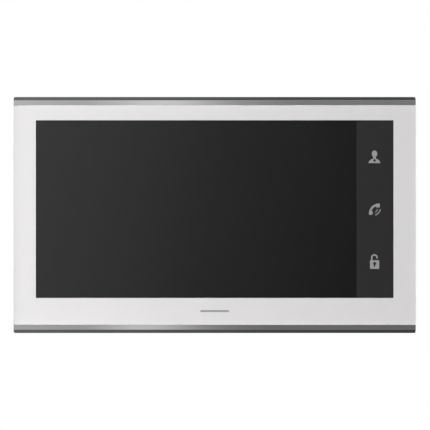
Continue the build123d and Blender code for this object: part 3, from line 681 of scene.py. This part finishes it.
def floor():
    """A pale floor that fades into the white background before its edge."""
    look = Look("pale_floor")
    tone = look.remap(look.noise(look.coordinates(), 0.004), 0.0, 1.0)
    away = look.node("VectorMath", operation="LENGTH")
    look.link(look.node("TexCoord").outputs["Object"], away.inputs[0])
    fade = look.remap(away.outputs["Value"], 0.0, 1.0, 0.1 * FLOOR_SIZE, 0.45 * FLOOR_SIZE)
    fade.node.interpolation_type = "SMOOTHERSTEP"
    pale = look.blend(tone, (0.60, 0.60, 0.60), (0.62, 0.62, 0.62))
    material = look.paint(
        Base_Color=look.blend(fade, pale, (0.0, 0.0, 0.0)),
        Roughness=0.8,
        Specular_IOR_Level=0.0,
        Emission_Color=look.blend(fade, (0.33, 0.33, 0.33), (1.0, 1.0, 1.0)),
        Emission_Strength=1.0,
    )
    place = (0, 0, LOW.z - FLOOR_DROP)
    made = stage_plane("floor", (FLOOR_SIZE, FLOOR_SIZE), place, (0, 0, 1), material)
    made.visible_diffuse = False
    made.visible_glossy = False


def card_light(name, size, stops, soft):
    """Light that changes from left to right and fades away over a border soft metres wide."""
    look = Look(name)
    split = look.node("SeparateXYZ")
    look.link(look.node("TexCoord").outputs["Object"], split.inputs["Vector"])
    across = look.remap(split.outputs["X"], 0.0, 1.0, -size[0] / 2, size[0] / 2)
    light = look.node("Emission")
    look.link(look.ramp(across, stops), light.inputs["Color"])
    surface = light.outputs["Emission"]
    if soft:
        borders = []
        for axis, length in zip("XY", size):
            beyond = look.maths("ABSOLUTE", split.outputs[axis])
            borders.append(look.remap(beyond, 1.0, 0.0, length / 2 - soft, length / 2))
        surface = look.mix(look.maths("MULTIPLY", *borders), look.clear(), surface)
    look.show(surface)
    return look.material


def card(name, size, location, facing, stops, roll=0.0, soft=0.0):
    """A studio reflector that only gloss sees, lit from left to right by (place, level) stops."""
    made = stage_plane(name, size, location, facing, card_light(name, size, stops, soft))
    turn = made.rotation_euler.to_matrix()
    if turn.col[0].x < 0:
        turn = turn @ Matrix.Rotation(math.pi, 3, "Z")
    made.rotation_euler = (turn @ Matrix.Rotation(roll, 3, "Z")).to_euler()
    made.visible_camera = False
    made.visible_diffuse = False
    made.visible_shadow = False
    made.visible_transmission = False


def reflectors():
    """What the polished face, the trims' front bands and their sloping bands mirror."""
    behind, rise = -3.0, 0.76  # the first three cards stand behind the camera
    face = ((0.0, 0.68), (0.29, 0.46), (0.40, 0.34), (0.50, 0.195), (0.68, 0.055), (1.0, 0.03))
    card("face_card", (1.4, 0.94), (0, behind, 0), (0, 1, 0), face, roll=math.radians(15), soft=0.15)
    upper = ((0.06, 0.57), (0.22, 0.44), (0.36, 0.72), (0.41, 0.70))
    upper += ((0.54, 0.35), (0.67, 0.23), (1.0, 0.21))
    lower = ((0.06, 0.47), (0.20, 0.36), (0.33, 0.66), (0.37, 0.62))
    lower += ((0.49, 0.25), (0.60, 0.17), (1.0, 0.15))
    front_size = (0.8, 0.60)
    card("upper_card", front_size, (0, behind, rise), (0, 1, -0.2), upper)
    card("lower_card", front_size, (0, behind, -rise), (0, 1, 0.2), lower)
    above = ((0.0, 0.18), (0.35, 0.13), (0.65, 0.085), (1.0, 0.07))
    below = ((0.0, 0.14), (0.35, 0.11), (0.65, 0.065), (1.0, 0.05))
    level_size, forward, height = (0.32, 0.40), -0.04, 0.5
    card("overhead_card", level_size, (0, forward, height), (0, 0, -1), above)
    card("under_card", level_size, (0, forward, -height), (0, 0, 1), below)


def area_light(name, location, size, power, in_gloss):
    """A rectangular light aimed at the monitor; in_gloss says whether gloss mirrors it."""
    data = bpy.data.lights.new(name, "AREA")
    data.shape = "RECTANGLE"
    data.size, data.size_y = size
    data.energy = power
    made = bpy.data.objects.new(name, data)
    made.location = location
    made.rotation_euler = (CENTRE - Vector(location)).to_track_quat("-Z", "Y").to_euler()
    made.visible_glossy = in_gloss
    bpy.context.scene.collection.objects.link(made)


def lights():
    """A key light that the glass doesn't mirror, and a larger one for the back."""
    area_light("key_light", (-1.0, -0.95, 0.0), (1.1, 0.3), 25.2, in_gloss=False)
    area_light("rear_light", (0.9, 1.1, 0.7), (1.2, 1.2), 22.0, in_gloss=True)


def world():
    """White to the camera and a soft grey room to the object; gloss sees a patchy bright ceiling."""
    made = bpy.data.worlds.new("studio")
    bpy.context.scene.world = made
    made.use_nodes = True
    sky = Graph(made.node_tree, "OutputWorld")

    def background(colour, strength=1.0):
        back = sky.node("Background")
        sky.feed(back.inputs["Color"], colour)
        sky.feed(back.inputs["Strength"], strength)
        return back.outputs["Background"]

    ray = sky.node("LightPath").outputs
    place = sky.node("TexCoord").outputs["Generated"]
    split = sky.node("SeparateXYZ")
    sky.link(place, split.inputs["Vector"])
    height = sky.remap(split.outputs["Z"], 0.0, 1.0, -1.0, 1.0)
    stops = ((0.0, 0.50), (0.42, 0.30), (0.52, 0.16), (0.66, 0.42), (0.85, 0.95), (1.0, 0.80))
    patches = sky.remap(sky.noise(place, 1.4, 1.0), 0.45, 1.55, 0.35, 0.65)
    room = background(sky.ramp(height, stops), patches)
    seen = sky.mix(ray["Is Glossy Ray"], background((0.235, 0.235, 0.235)), room)
    sky.show(sky.mix(ray["Is Camera Ray"], seen, background((1.0, 1.0, 1.0))))


def camera():
    """Looks straight at the face from in front."""
    data = bpy.data.cameras.new("camera")
    data.lens = LENS
    data.sensor_width = SENSOR
    data.clip_end = 50.0
    made = bpy.data.objects.new("camera", data)
    made.location = (CENTRE.x + FRAMING, FACE_Y - DISTANCE, CENTRE.z)
    made.rotation_euler = (math.pi / 2, 0.0, 0.0)
    bpy.context.scene.collection.objects.link(made)
    bpy.context.scene.camera = made


def main():
    materials = build_materials()
    dress_cad_nodes(materials)
    glass_sheet(materials["front_glass"])
    control_marks(materials["mark_print"])
    label_print()
    floor()
    reflectors()
    lights()
    world()
    camera()
    bpy.context.scene.view_settings.view_transform = "Standard"


main()
